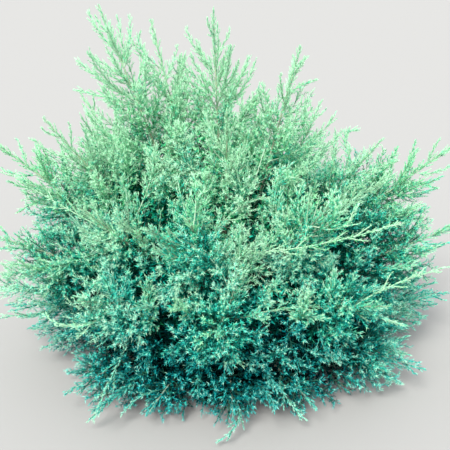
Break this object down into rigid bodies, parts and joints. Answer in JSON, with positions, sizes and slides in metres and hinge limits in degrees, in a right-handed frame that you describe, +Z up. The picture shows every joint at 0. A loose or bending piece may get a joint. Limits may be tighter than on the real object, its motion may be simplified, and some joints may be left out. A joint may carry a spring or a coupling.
{
  "type": "glauca pfitzer juniper shrub",
  "caption": "Low, spreading evergreen shrub: short trunk, boughs rising outward in tiers, each ending in a feathery mass of blue-grey needles. Rooted in the ground.",
  "frame": {"origin": "centre of the flat cut under the trunk, at ground level", "axes": "+Z up, -Y towards the side shown in the picture, +X to the right of that side"},
  "size_m": [1.1423, 0.9295, 0.8327],
  "materials": {
    "bark": "rough",
    "young_bark": "rough",
    "low_needles": "matte",
    "middle_needles": "matte",
    "upper_needles": "matte",
    "crown_needles": "matte"
  },
  "bodies": {
    "root": {"bough_low_1": "young_bark", "bough_low_10": "young_bark", "bough_low_2": "young_bark", "bough_low_3": "young_bark", "bough_low_4": "young_bark", "bough_low_5": "young_bark", "bough_low_6": "young_bark", "bough_middle_1": "young_bark", "bough_middle_10": "young_bark", "bough_middle_2": "young_bark", "bough_middle_3": "young_bark", "bough_middle_4": "young_bark", "bough_middle_5": "young_bark", "bough_middle_6": "young_bark", "bough_middle_7": "young_bark", "bough_middle_8": "young_bark", "bough_middle_9": "young_bark", "bough_upper_1": "young_bark", "bough_upper_2": "young_bark", "bough_upper_3": "young_bark", "bough_upper_4": "young_bark", "bough_upper_5": "young_bark", "bough_upper_6": "young_bark", "bough_upper_7": "young_bark", "bough_upper_8": "young_bark", "mass_crown_1": "crown_needles", "mass_crown_2": "crown_needles", "mass_crown_3": "crown_needles", "mass_crown_4": "crown_needles", "mass_crown_5": "crown_needles", "mass_low_1": "low_needles", "mass_low_10": "low_needles", "mass_low_2": "low_needles", "mass_low_3": "low_needles", "mass_low_4": "low_needles", "mass_low_5": "low_needles", "mass_low_6": "low_needles", "mass_low_7": "low_needles", "mass_low_8": "low_needles", "mass_low_9": "low_needles", "mass_middle_1": "middle_needles", "mass_middle_10": "middle_needles", "mass_middle_2": "middle_needles", "mass_middle_3": "middle_needles", "mass_middle_4": "middle_needles", "mass_middle_5": "middle_needles", "mass_middle_6": "middle_needles", "mass_middle_7": "middle_needles", "mass_middle_8": "middle_needles", "mass_middle_9": "middle_needles", "mass_upper_1": "upper_needles", "mass_upper_2": "upper_needles", "mass_upper_3": "upper_needles", "mass_upper_4": "upper_needles", "mass_upper_5": "upper_needles", "mass_upper_6": "upper_needles", "mass_upper_7": "upper_needles", "mass_upper_8": "upper_needles", "trunk": "bark"}
  },
  "joints": []
}
